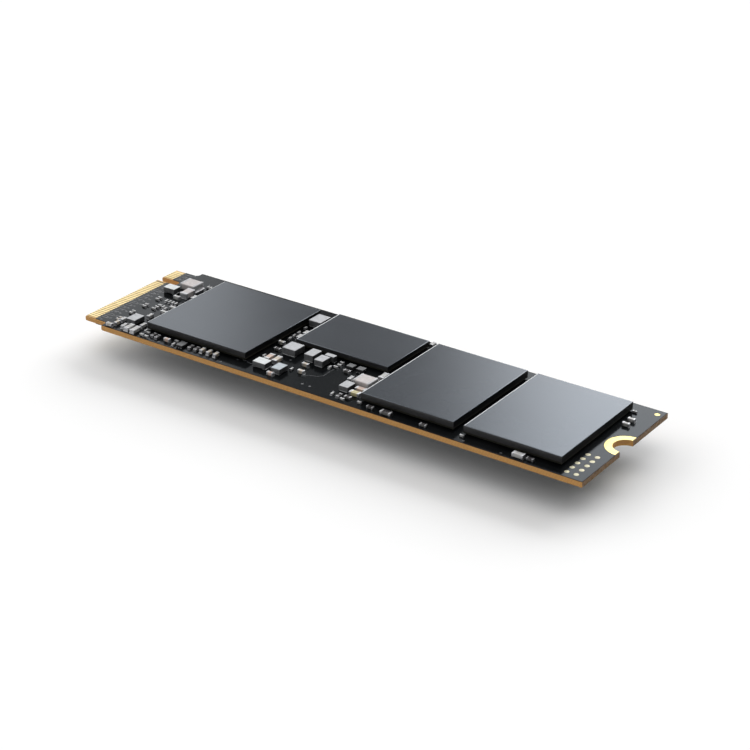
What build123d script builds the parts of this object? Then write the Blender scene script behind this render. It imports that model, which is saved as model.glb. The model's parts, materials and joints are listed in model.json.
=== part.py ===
"""Solid state drive card, 80 by 22 mm, with every part on its top face.

A bare board 0.8 mm thick ends in a narrower tongue with gold edge contacts on both faces and
a key notch, and at its other end in a half-round screw notch with a bare copper ring. On top sit
a controller, a memory and two flash packages on solder balls, moulded inductors, two large ceramic
capacitors, three small regulators, and rows of ceramic chip capacitors and chip resistors.

Frame: origin below the centre of the card on its bottom face, +X towards the screw notch,
+Y across the card towards the key notch's side, +Z up from the board. Millimetres.
"""

import os
from dataclasses import dataclass

from build123d import *

# Board
board_length = 80.0
board_width = 22.0
board_thickness = 0.8
layer_thickness = 0.03  # solder mask and bare copper, which lie flush with each other

# Tongue that enters the socket, with its two shoulders
tongue_length = 4.0
tongue_width = 19.85
shoulder_fillet = 0.5
tongue_corner_fillet = 0.25
lead_chamfer = 0.15

# Key notch in the tongue, with a full-radius end
key_centre = 6.125
key_width = 1.2
key_depth = 3.5

# Edge contacts: the bottom row has one less and lies half a pitch over
contact_pitch = 0.5
contact_width = 0.35
contact_length = 1.65
contact_setback = 0.05  # from the leading chamfer
contact_edge_margin = 0.6  # least distance from a contact's centre line to the tongue's side
contact_key_clearance = 0.15  # least gap between a contact and the key notch

# Screw notch, half a circle centred on the end edge, and its bare copper ring
screw_notch_radius = 1.75
ring_radius = 2.75
ring_edge_gap = 0.1

# Solder mask
mask_edge_gap = 0.08
mask_opening_gap = 0.05
mask_contact_gap = 0.03  # from the ends of the contacts

# Round test pads beside the screw notch, and the round alignment marks
pad_radius = 0.33
pad_sides = 10
pad_pitch = 1.3
pad_columns = 2
pad_rows = 5
pads_from_tail = 2.18  # middle of the pad field, from the end edge
pads_from_near_edge = 3.85
mark_radius = 0.35
tail_mark_inset = (0.9, 1.2)  # from the end edge and the far edge

# Ball grid packages
stand_off = 0.2
substrate_thickness = 0.25
mould_edge_chamfer = 0.05
ball_radius = 0.22
ball_sides = 6
ball_inset_x = 2.0  # from the package's ends along the card to the middle of the outer balls
ball_inset_y = 1.0

# Moulded inductors
inductor_lift = 0.08
inductor_terminal = 0.45
inductor_bevel = 0.08

# Large ceramic capacitors
bulk_length = 2.6
bulk_width = 2.3
bulk_height = 0.98
bulk_end = 0.42
bulk_plating = 0.03
bulk_rounding = 0.12

# Small regulators in leadless packages
regulator_lift = 0.04
regulator_bevel = 0.05
leads_per_side = 3
lead_length = 0.25
lead_width = 0.18
lead_reach = 0.06  # how far a lead shows outside the package

# Chip parts
body_step = 0.02  # the ceramic lies this far inside its metal ends
film_thickness = 0.02

connector_x = -board_length / 2
tail_x = board_length / 2
near_y = -board_width / 2
far_y = board_width / 2
shoulder_x = connector_x + tongue_length
core_thickness = board_thickness - 2 * layer_thickness
top_layer_z = board_thickness - layer_thickness
mask_start = lead_chamfer + contact_setback + contact_length + mask_contact_gap
quarter_turn = 90  # a part along Y is a part along X, turned
tolerance = 1e-4

os.makedirs("parts", exist_ok=True)


@dataclass(frozen=True)
class Case:
    """A standard chip size: outer length, width and height, and the length of each metal end."""

    length: float
    width: float
    height: float
    end: float


@dataclass(frozen=True)
class Place:
    """Where a chip sits: its case, the axis it lies along, and its middle.

    along_card is measured from the connector end, and across from the middle line of the card,
    as the packages that the chips serve are.
    """

    case: Case
    axis: str
    along_card: float
    across: float

    def seat(self) -> Location:
        """Returns the location of the chip's middle on the board's top face."""
        turn = quarter_turn if self.axis == "Y" else 0
        return Location((connector_x + self.along_card, self.across, board_thickness), (0, 0, turn))


@dataclass(frozen=True)
class Package:
    """A ball grid package: name, middle from the connector end and the middle line, and sizes."""

    name: str
    along_card: float
    across: float
    size_x: float
    size_y: float
    height: float
    ball_pitch: float


@dataclass(frozen=True)
class Block:
    """A moulded part: name, middle from the connector end and the middle line, and sizes."""

    name: str
    along_card: float
    across: float
    size_x: float
    size_y: float
    height: float
    ends: str  # axis on which its two terminals lie


cap_0201 = Case(0.6, 0.3, 0.3, 0.15)
cap_0402 = Case(1.0, 0.5, 0.5, 0.25)
cap_0603 = Case(1.6, 0.8, 0.55, 0.35)
cap_0805 = Case(2.0, 1.25, 0.8, 0.45)
res_0402 = Case(1.0, 0.5, 0.35, 0.22)
res_0603 = Case(1.6, 0.8, 0.42, 0.32)

packages = [
    Package("controller", 18.7, 0.1, 17.0, 17.0, 1.2, 1.0),
    Package("memory", 37.3, 4.45, 15.0, 10.0, 1.0, 1.0),
    Package("flash_1", 53.5, 0.0, 14.0, 18.0, 1.25, 1.0),
    Package("flash_2", 69.0, 0.0, 14.0, 18.0, 1.25, 1.0),
]

inductors = [
    Block("memory_inductor", 28.45, 6.7, 2.0, 2.45, 0.95, "Y"),
    Block("core_inductor", 30.9, -2.6, 2.15, 2.2, 1.0, "Y"),
    Block("flash_inductor_1", 34.15, -2.6, 1.45, 2.1, 1.0, "Y"),
    Block("flash_inductor_2", 36.1, -3.2, 1.4, 1.8, 0.9, "Y"),
    Block("flash_inductor_3", 36.45, -1.75, 1.55, 0.8, 0.9, "X"),
    Block("output_inductor_1", 30.0, -8.3, 2.05, 1.55, 0.85, "X"),
    Block("output_inductor_2", 32.8, -8.25, 1.45, 1.85, 0.8, "Y"),
    Block("output_inductor_3", 43.05, -7.25, 1.45, 1.8, 0.75, "Y"),
    Block("entry_inductor_1", 7.15, -7.4, 1.55, 2.1, 0.75, "Y"),
    Block("entry_inductor_2", 4.7, 3.35, 1.95, 1.45, 0.85, "X"),
]

regulators = [
    Block("edge", 17.4, -9.7, 1.05, 1.35, 0.4, "Y"),
    Block("flash_left", 40.0, -2.0, 1.05, 0.95, 0.5, "Y"),
    Block("flash_right", 41.6, -2.0, 1.05, 0.95, 0.5, "Y"),
]

bulk_capacitors = [(6.2, 5.95), (44.35, -4.95)]

# Four pairs in the data lanes, each pair across the card
lane_pair_middles = [0.25, -2.6, -5.4, -8.1]
lane_pair_half_pitch = 0.3
lane_capacitors = [
    Place(cap_0201, "X", 4.85, middle + side * lane_pair_half_pitch)
    for middle in lane_pair_middles
    for side in (-1, 1)
]

# Row of four beside the controller, and the loose ones around it
entry_row_start = 6.3
entry_row_pitch = 0.58
entry_row_count = 4
entry_row_across = 0.25
entry_capacitors = [
    Place(cap_0201, "Y", entry_row_start + i * entry_row_pitch, entry_row_across)
    for i in range(entry_row_count)
]
entry_capacitors += [
    Place(cap_0805, "Y", 7.4, 3.55),
    Place(cap_0402, "X", 6.85, 1.85),
    Place(cap_0201, "X", 6.6, -1.5),
    Place(cap_0201, "X", 6.55, -2.15),
    Place(cap_0201, "X", 6.5, -2.8),
    Place(cap_0201, "Y", 7.3, -1.65),
    Place(cap_0201, "Y", 7.9, -1.9),
    Place(cap_0402, "X", 8.8, -1.3),
    Place(cap_0402, "X", 8.7, -3.15),
    Place(cap_0402, "Y", 8.95, 3.1),
    Place(cap_0201, "Y", 8.1, 7.4),
    Place(cap_0201, "Y", 8.6, 7.3),
    Place(cap_0402, "Y", 7.95, -5.25),
    Place(cap_0402, "Y", 5.72, -8.24),
    Place(cap_0402, "Y", 5.65, -9.5),
    Place(cap_0402, "X", 5.15, -10.5),
    Place(cap_0402, "Y", 7.15, -9.75),
    Place(cap_0603, "Y", 8.1, -9.75),
    Place(cap_0603, "Y", 9.25, -9.85),
    Place(cap_0402, "Y", 9.2, -8.15),
]

# Row along the near edge, beside the controller
edge_capacitors = [
    Place(cap_0201, "Y", 10.45, -9.0),
    Place(cap_0201, "X", 11.15, -9.35),
    Place(cap_0201, "X", 10.8, -10.3),
    Place(cap_0201, "X", 11.65, -10.35),
    Place(cap_0402, "X", 14.85, -9.75),
    Place(cap_0201, "X", 16.05, -9.15),
    Place(cap_0201, "Y", 16.3, -10.15),
    Place(cap_0402, "Y", 20.85, -9.5),
    Place(cap_0402, "Y", 22.0, -9.5),
    Place(cap_0402, "Y", 23.15, -9.5),
]
edge_resistors = [
    Place(res_0402, "Y", 12.3, -9.55),
    Place(res_0402, "Y", 13.1, -9.7),
    Place(res_0402, "Y", 18.85, -9.55),
    Place(res_0402, "Y", 19.85, -9.55),
]

# Power stage between the controller, the memory and the first flash package
power_capacitors = [
    Place(cap_0201, "Y", 27.7, 4.4),
    Place(cap_0201, "Y", 27.85, 2.65),
    Place(cap_0201, "Y", 27.9, 1.5),
    Place(cap_0201, "Y", 27.95, 0.5),
    Place(cap_0402, "Y", 28.9, 2.9),
    Place(cap_0402, "Y", 28.9, 1.4),
    Place(cap_0402, "X", 28.0, -1.4),
    Place(cap_0201, "Y", 28.4, -5.8),
    Place(cap_0603, "Y", 29.5, -6.05),
    Place(cap_0603, "Y", 30.75, -6.05),
    Place(cap_0402, "X", 34.7, -5.0),
    Place(cap_0402, "X", 35.45, -7.0),
    Place(cap_0402, "X", 32.5, -9.8),
    Place(cap_0201, "Y", 33.85, -6.95),
    Place(cap_0201, "X", 38.2, -1.55),
    Place(cap_0201, "X", 38.3, -2.35),
    Place(cap_0201, "X", 38.2, -3.05),
    Place(cap_0201, "Y", 37.65, -3.6),
    Place(cap_0402, "Y", 42.0, -4.95),
    Place(cap_0603, "Y", 45.2, -2.0),
    Place(cap_0603, "X", 44.95, -6.8),
    Place(cap_0603, "X", 44.95, -8.1),
]
power_resistors = [
    Place(res_0402, "X", 28.65, -3.2),
    Place(res_0402, "X", 40.2, -3.3),
]

# Along the near edge beside the flash packages, one on the far edge, and the tail
flash_capacitors = [
    Place(cap_0201, "Y", 42.4, -9.6),
    Place(cap_0201, "X", 44.35, -10.15),
    Place(cap_0201, "X", 46.7, -9.65),
    Place(cap_0603, "X", 70.6, -10.05),
    Place(cap_0201, "X", 62.2, -9.65),
    Place(cap_0402, "Y", 45.0, 10.0),
    Place(cap_0402, "X", 77.35, 6.15),
    Place(cap_0402, "X", 77.35, 4.7),
    Place(cap_0201, "X", 76.55, 8.55),
]
flash_resistors = [
    Place(res_0402, "Y", 43.5, -9.65),
    Place(res_0402, "X", 44.7, -9.4),
    Place(res_0402, "X", 48.6, -9.95),
    Place(res_0603, "X", 51.15, -10.1),
    Place(res_0402, "X", 56.75, -10.1),
    Place(res_0402, "X", 72.2, -9.95),
]


def card_outline(inset: float) -> Sketch:
    """Returns the card's outline with both notches, drawn in by inset all round."""
    shoulder_step = (board_width - tongue_width) / 2
    with BuildSketch() as outline:
        Rectangle(board_length - 2 * inset, board_width - 2 * inset)
        with Locations((connector_x, near_y), (connector_x, far_y)):
            Rectangle(2 * (tongue_length + inset), 2 * (shoulder_step + inset), mode=Mode.SUBTRACT)
        with Locations((connector_x, key_centre)):
            SlotOverall(2 * (key_depth + inset), key_width + 2 * inset, mode=Mode.SUBTRACT)
        with Locations((tail_x, 0)):
            Circle(screw_notch_radius + inset, mode=Mode.SUBTRACT)
        corner_x = shoulder_x + inset
        on_shoulder = outline.vertices().filter_by(lambda v: abs(v.X - corner_x) < tolerance)
        fillet(on_shoulder.sort_by(Axis.Y)[1:3], shoulder_fillet + inset)
        tongue_side = tongue_width / 2 - inset
        front = outline.vertices().filter_by(
            lambda v: abs(v.X - connector_x - inset) < tolerance and abs(abs(v.Y) - tongue_side) < tolerance
        )
        fillet(front, tongue_corner_fillet)
    return outline.sketch


def contact_rows(count: int) -> list[float]:
    """Returns the places across the card of a row of contacts, less those that the key takes."""
    reach = (key_width + contact_width) / 2 + contact_key_clearance
    rows = [(i - (count - 1) / 2) * contact_pitch for i in range(count)]
    return [y for y in rows if abs(y - key_centre) > reach]


def outer_balls(package: Package) -> list[tuple[float, float]]:
    """Returns the places of the outermost ring of balls under a package."""
    columns = int((package.size_x - 2 * ball_inset_x) / package.ball_pitch + tolerance) + 1
    rows = int((package.size_y - 2 * ball_inset_y) / package.ball_pitch + tolerance) + 1
    ring = []
    for i in range(columns):
        for j in range(rows):
            if i in (0, columns - 1) or j in (0, rows - 1):
                x = (i - (columns - 1) / 2) * package.ball_pitch
                y = (j - (rows - 1) / 2) * package.ball_pitch
                ring.append((connector_x + package.along_card + x, package.across + y))
    return ring


def add_chip_bodies(places: list[Place]) -> None:
    """Adds the ceramic block of each chip to the part being built."""
    for place in places:
        case = place.case
        with Locations(place.seat()):
            with Locations((0, 0, body_step)):
                Box(
                    case.length - 2 * case.end,
                    case.width - 2 * body_step,
                    case.height - 2 * body_step,
                    align=(Align.CENTER, Align.CENTER, Align.MIN),
                )


def add_chip_ends(places: list[Place]) -> None:
    """Adds the two metal ends of each chip to the part being built."""
    for place in places:
        case = place.case
        end_middle = (case.length - case.end) / 2
        with Locations(place.seat()):
            with Locations((-end_middle, 0), (end_middle, 0)):
                Box(case.end, case.width, case.height, align=(Align.CENTER, Align.CENTER, Align.MIN))


def add_resistor_films(places: list[Place]) -> None:
    """Adds the dark protective film on top of each resistor's ceramic."""
    for place in places:
        case = place.case
        with Locations(place.seat()):
            with Locations((0, 0, case.height - body_step)):
                Box(
                    case.length - 2 * case.end,
                    case.width - 2 * body_step,
                    film_thickness,
                    align=(Align.CENTER, Align.CENTER, Align.MIN),
                )


# Bare board: glass-fibre laminate with a chamfered leading edge
with BuildPart() as circuit_board:
    with BuildSketch(Plane.XY.offset(layer_thickness)):
        add(card_outline(0))
    extrude(amount=core_thickness)
    leading_edges = circuit_board.edges().filter_by(Axis.Y).group_by(Axis.X)[0]
    chamfer(leading_edges, lead_chamfer)
circuit_board.part.label = "circuit_board"
export_step(circuit_board.part, "parts/circuit_board.step")

tail_mark = (tail_x - tail_mark_inset[0], far_y - tail_mark_inset[1])
pad_field_middle = (tail_x - pads_from_tail, near_y + pads_from_near_edge)


def add_mask_outline() -> None:
    """Adds the solder mask's outline to the sketch: bare at the contacts and at the screw notch."""
    add(card_outline(mask_edge_gap))
    with Locations((connector_x, 0)):
        Rectangle(2 * mask_start, board_width, mode=Mode.SUBTRACT)
    with Locations((tail_x, 0)):
        Circle(ring_radius + mask_opening_gap, mode=Mode.SUBTRACT)


# Solder mask on the top face, open at the test pads and the alignment mark
with BuildPart() as top_solder_mask:
    with BuildSketch(Plane.XY.offset(top_layer_z)):
        add_mask_outline()
        with Locations(pad_field_middle):
            with GridLocations(pad_pitch, pad_pitch, pad_columns, pad_rows):
                RegularPolygon(pad_radius + mask_opening_gap, pad_sides, mode=Mode.SUBTRACT)
        with Locations(tail_mark):
            RegularPolygon(mark_radius + mask_opening_gap, pad_sides, mode=Mode.SUBTRACT)
    extrude(amount=layer_thickness)
top_solder_mask.part.label = "top_solder_mask"
export_step(top_solder_mask.part, "parts/top_solder_mask.step")

# Solder mask on the bottom face
with BuildPart() as bottom_solder_mask:
    with BuildSketch():
        add_mask_outline()
    extrude(amount=layer_thickness)
bottom_solder_mask.part.label = "bottom_solder_mask"
export_step(bottom_solder_mask.part, "parts/bottom_solder_mask.step")

# Edge contacts of both faces, those beyond the key notch apart
contact_x = connector_x + lead_chamfer + contact_setback + contact_length / 2
top_count = int((tongue_width - 2 * contact_edge_margin) / contact_pitch + tolerance) + 1
contact_groups = [
    ("top_contacts", top_layer_z, [y for y in contact_rows(top_count) if y < key_centre]),
    ("top_key_contacts", top_layer_z, [y for y in contact_rows(top_count) if y > key_centre]),
    ("bottom_contacts", 0, [y for y in contact_rows(top_count - 1) if y < key_centre]),
    ("bottom_key_contacts", 0, [y for y in contact_rows(top_count - 1) if y > key_centre]),
]
for contact_name, contact_z, contact_ys in contact_groups:
    with BuildPart() as contacts:
        with BuildSketch(Plane.XY.offset(contact_z)):
            with Locations(*[(contact_x, y) for y in contact_ys]):
                Rectangle(contact_length, contact_width)
        extrude(amount=layer_thickness)
    contacts.part.label = contact_name
    export_step(contacts.part, f"parts/{contact_name}.step")

# Bare copper ring around the screw notch, on both faces
for ring_name, ring_z in (("top_ground_ring", top_layer_z), ("bottom_ground_ring", 0)):
    with BuildPart() as ground_ring:
        with BuildSketch(Plane.XY.offset(ring_z)):
            with Locations((tail_x, 0)):
                Circle(ring_radius)
                Circle(screw_notch_radius, mode=Mode.SUBTRACT)
                with Locations((ring_radius - ring_edge_gap, 0)):
                    Rectangle(2 * ring_radius, 2 * ring_radius, mode=Mode.SUBTRACT)
        extrude(amount=layer_thickness)
    ground_ring.part.label = ring_name
    export_step(ground_ring.part, f"parts/{ring_name}.step")

# Test pads
with BuildPart() as test_pads:
    with BuildSketch(Plane.XY.offset(top_layer_z)):
        with Locations(pad_field_middle):
            with GridLocations(pad_pitch, pad_pitch, pad_columns, pad_rows):
                RegularPolygon(pad_radius, pad_sides)
    extrude(amount=layer_thickness)
test_pads.part.label = "test_pads"
export_step(test_pads.part, "parts/test_pads.step")

# Alignment mark for the placing machine
with BuildPart() as alignment_mark:
    with BuildSketch(Plane.XY.offset(top_layer_z)):
        with Locations(tail_mark):
            RegularPolygon(mark_radius, pad_sides)
    extrude(amount=layer_thickness)
alignment_mark.part.label = "alignment_mark"
export_step(alignment_mark.part, "parts/alignment_mark.step")

# Ball grid packages: solder balls, laminate substrate, moulded cap
for package in packages:
    package_middle = (connector_x + package.along_card, package.across)
    substrate_z = board_thickness + stand_off
    mould_z = substrate_z + substrate_thickness

    with BuildPart() as solder_balls:
        with BuildSketch(Plane.XY.offset(board_thickness)):
            with Locations(*outer_balls(package)):
                RegularPolygon(ball_radius, ball_sides)
        extrude(amount=stand_off)
    solder_balls.part.label = f"{package.name}_solder_balls"
    export_step(solder_balls.part, f"parts/{package.name}_solder_balls.step")

    with BuildPart() as substrate:
        with BuildSketch(Plane.XY.offset(substrate_z)):
            with Locations(package_middle):
                Rectangle(package.size_x, package.size_y)
        extrude(amount=substrate_thickness)
    substrate.part.label = f"{package.name}_substrate"
    export_step(substrate.part, f"parts/{package.name}_substrate.step")

    with BuildPart() as mould_cap:
        with BuildSketch(Plane.XY.offset(mould_z)):
            with Locations(package_middle):
                Rectangle(package.size_x, package.size_y)
        extrude(amount=package.height - stand_off - substrate_thickness)
        chamfer(mould_cap.faces().sort_by(Axis.Z)[-1].edges(), mould_edge_chamfer)
    mould_cap.part.label = f"{package.name}_mould_cap"
    export_step(mould_cap.part, f"parts/{package.name}_mould_cap.step")

# Moulded inductors, lifted off the board by their terminals
for block in inductors:
    with BuildPart() as inductor:
        with BuildSketch(Plane.XY.offset(board_thickness + inductor_lift)):
            with Locations((connector_x + block.along_card, block.across)):
                Rectangle(block.size_x, block.size_y)
        extrude(amount=block.height - inductor_lift)
        chamfer(inductor.edges().filter_by(Axis.Z), inductor_bevel)
        chamfer(inductor.faces().sort_by(Axis.Z)[-1].edges(), inductor_bevel)
    inductor.part.label = block.name
    export_step(inductor.part, f"parts/{block.name}.step")

with BuildPart() as inductor_terminals:
    for block in inductors:
        along, wide = (block.size_x, block.size_y) if block.ends == "X" else (block.size_y, block.size_x)
        terminal_middle = (along - inductor_terminal) / 2
        turn = quarter_turn if block.ends == "Y" else 0
        seat = Location((connector_x + block.along_card, block.across, board_thickness), (0, 0, turn))
        with Locations(seat):
            with Locations((-terminal_middle, 0), (terminal_middle, 0)):
                Box(
                    inductor_terminal,
                    wide - 2 * inductor_bevel,
                    inductor_lift,
                    align=(Align.CENTER, Align.CENTER, Align.MIN),
                )
inductor_terminals.part.label = "inductor_terminals"
export_step(inductor_terminals.part, "parts/inductor_terminals.step")

# Large ceramic capacitors: a rounded ceramic block with a plated cup over each end
with BuildPart() as bulk_ceramic:
    with Locations((0, 0, bulk_plating)):
        Box(
            bulk_length - 2 * bulk_plating,
            bulk_width - 2 * bulk_plating,
            bulk_height - 2 * bulk_plating,
            align=(Align.CENTER, Align.CENTER, Align.MIN),
        )
    chamfer(bulk_ceramic.edges().filter_by(Axis.X), bulk_rounding)

with BuildPart() as bulk_cups:
    Box(bulk_length, bulk_width, bulk_height, align=(Align.CENTER, Align.CENTER, Align.MIN))
    chamfer(bulk_cups.edges().filter_by(Axis.X), bulk_rounding)
    Box(bulk_length - 2 * bulk_end, bulk_width, 2 * bulk_height, mode=Mode.SUBTRACT)
    add(bulk_ceramic.part, mode=Mode.SUBTRACT)

for number, (bulk_x, bulk_y) in enumerate(bulk_capacitors, start=1):
    with BuildPart() as bulk_capacitor:
        with Locations((connector_x + bulk_x, bulk_y, board_thickness)):
            add(bulk_ceramic.part)
    bulk_capacitor.part.label = f"bulk_capacitor_{number}"
    export_step(bulk_capacitor.part, f"parts/bulk_capacitor_{number}.step")

with BuildPart() as bulk_capacitor_ends:
    with Locations(*[(connector_x + bulk_x, bulk_y, board_thickness) for bulk_x, bulk_y in bulk_capacitors]):
        add(bulk_cups.part)
bulk_capacitor_ends.part.label = "bulk_capacitor_ends"
export_step(bulk_capacitor_ends.part, "parts/bulk_capacitor_ends.step")

# Small regulators with three leads on each of two sides
with BuildPart() as regulator_bodies:
    for block in regulators:
        with Locations((connector_x + block.along_card, block.across, board_thickness + regulator_lift)):
            Box(
                block.size_x,
                block.size_y,
                block.height - regulator_lift,
                align=(Align.CENTER, Align.CENTER, Align.MIN),
            )
    chamfer(regulator_bodies.edges().filter_by(Axis.Z), regulator_bevel)
regulator_bodies.part.label = "regulator_bodies"
export_step(regulator_bodies.part, "parts/regulator_bodies.step")

with BuildPart() as regulator_leads:
    for block in regulators:
        lead_middle = block.size_y / 2 + lead_reach - lead_length / 2
        lead_span = block.size_x - lead_width - 2 * regulator_bevel
        lead_pitch = lead_span / (leads_per_side - 1)
        with Locations((connector_x + block.along_card, block.across, board_thickness)):
            with GridLocations(lead_pitch, 2 * lead_middle, leads_per_side, 2):
                Box(lead_width, lead_length, regulator_lift, align=(Align.CENTER, Align.CENTER, Align.MIN))
regulator_leads.part.label = "regulator_leads"
export_step(regulator_leads.part, "parts/regulator_leads.step")

# Chip capacitors: ceramic blocks between their metal ends
for group_name, group in (
    ("lane_capacitor", lane_capacitors),
    ("entry_capacitor", entry_capacitors),
    ("edge_capacitor", edge_capacitors),
    ("power_capacitor", power_capacitors),
    ("flash_capacitor", flash_capacitors),
):
    with BuildPart() as chip_bodies:
        add_chip_bodies(group)
    chip_bodies.part.label = f"{group_name}_bodies"
    export_step(chip_bodies.part, f"parts/{group_name}_bodies.step")

    with BuildPart() as chip_ends:
        add_chip_ends(group)
    chip_ends.part.label = f"{group_name}_ends"
    export_step(chip_ends.part, f"parts/{group_name}_ends.step")

# Chip resistors: a white ceramic block, a dark film on it, and two metal ends
resistors = edge_resistors + power_resistors + flash_resistors
with BuildPart() as resistor_bodies:
    add_chip_bodies(resistors)
resistor_bodies.part.label = "resistor_bodies"
export_step(resistor_bodies.part, "parts/resistor_bodies.step")

with BuildPart() as resistor_films:
    add_resistor_films(resistors)
resistor_films.part.label = "resistor_films"
export_step(resistor_films.part, "parts/resistor_films.step")

with BuildPart() as resistor_ends:
    add_chip_ends(resistors)
resistor_ends.part.label = "resistor_ends"
export_step(resistor_ends.part, "parts/resistor_ends.step")
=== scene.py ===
"""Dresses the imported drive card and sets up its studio.

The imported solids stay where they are. The flat copper, mask and laminate keep their own meshes and get
their finishes here. The small parts, the package bodies and the solder are modelled again with their
rounded edges, plated ends and fillets, each in the box of the solids that it stands for. All lengths
are in metres, in the card's own frame: +X towards the screw notch, +Z out of the face with the parts.
"""

import json
import logging
import math
from dataclasses import dataclass, field
from enum import Enum
from typing import Any, Callable, Iterable, Sequence

import bmesh
import bpy
from bmesh.types import BMesh, BMFace, BMVert
from bpy.types import Material, Node, NodeSocket, NodeTree, Object
from mathutils import Matrix, Vector

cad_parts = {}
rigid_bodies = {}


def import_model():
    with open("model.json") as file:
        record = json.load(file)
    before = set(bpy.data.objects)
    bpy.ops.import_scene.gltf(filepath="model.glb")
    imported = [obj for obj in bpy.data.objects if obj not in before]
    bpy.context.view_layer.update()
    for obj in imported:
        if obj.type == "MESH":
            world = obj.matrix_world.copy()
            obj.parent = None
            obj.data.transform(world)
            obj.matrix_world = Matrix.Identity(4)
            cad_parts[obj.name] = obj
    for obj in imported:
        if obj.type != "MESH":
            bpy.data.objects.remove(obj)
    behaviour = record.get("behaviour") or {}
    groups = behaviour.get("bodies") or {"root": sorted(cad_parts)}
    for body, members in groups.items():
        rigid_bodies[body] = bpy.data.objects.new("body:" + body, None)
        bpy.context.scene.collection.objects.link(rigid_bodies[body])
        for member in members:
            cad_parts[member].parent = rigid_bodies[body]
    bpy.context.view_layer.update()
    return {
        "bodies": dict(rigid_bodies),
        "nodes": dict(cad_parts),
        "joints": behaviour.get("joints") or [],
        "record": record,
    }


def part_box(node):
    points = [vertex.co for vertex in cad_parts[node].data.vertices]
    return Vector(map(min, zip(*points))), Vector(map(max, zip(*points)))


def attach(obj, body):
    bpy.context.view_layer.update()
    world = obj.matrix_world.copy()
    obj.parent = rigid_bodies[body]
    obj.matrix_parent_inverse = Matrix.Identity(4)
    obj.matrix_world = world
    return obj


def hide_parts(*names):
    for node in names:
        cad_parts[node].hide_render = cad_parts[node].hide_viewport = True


MM = 0.001
BODY = "root"
BOARD = "circuit_board"
WELD = 1e-8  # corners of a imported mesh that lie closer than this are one
LEVEL = 0.001 * MM  # corners within this height of a face lie on it
FACING = 0.9  # a face looks along an axis if that part of its unit normal is over this
FLAT = 0.9999  # the same for a face that lies square to the axis
UPWARD = 0.999  # the same for a face of a package's top
MARGIN = 0.3  # the margin round a block's flat faces, as a share of its rounding
TUCK = 0.3  # how far a chip's ceramic runs into its metal ends, as a share of their length

# The solder fillet: its profile in reach and climb, and what its two sides keep of them
FILLET_PROFILE = ((-0.15, 0.0), (1.0, 0.0), (0.62, 0.16), (0.30, 0.42), (0.10, 0.80), (-0.15, 1.0))
FILLET_SIDE_REACH = 0.45
FILLET_SIDE_CLIMB = 0.35
FILLET_SIDE = 0.16  # the width of each side, as a share of the chip's
FILLET_SPILL = 0.06 * MM  # how far the solder runs out past the chip on each side
FILLET_SINK = 0.01 * MM

Colour = tuple[float, float, float]
Place = tuple[float, float]

log = logging.getLogger("drive_card")


@dataclass(frozen=True)
class Solid:
    """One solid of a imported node, by the lowest and highest corner of its box."""

    low: Vector
    high: Vector

    @property
    def middle(self) -> Vector:
        """The box's middle."""
        return (self.low + self.high) / 2

    @property
    def size(self) -> Vector:
        """The box's three lengths."""
        return self.high - self.low

    def join(self, other: "Solid") -> "Solid":
        """Returns the box around this one and another.

        Args:
            other: The other solid.

        Returns:
            A solid whose box holds both.
        """
        low = Vector(map(min, self.low, other.low))
        high = Vector(map(max, self.high, other.high))
        return Solid(low, high)


def make_object(bm: BMesh, name: str) -> Object:
    """Turns a finished bmesh into an object of the scene.

    Args:
        bm: The mesh, which is freed.
        name: The object's name.

    Returns:
        The object.
    """
    mesh = bpy.data.meshes.new(name)
    bm.to_mesh(mesh)
    bm.free()
    made = bpy.data.objects.new(name, mesh)
    bpy.context.scene.collection.objects.link(made)
    return made


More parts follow.
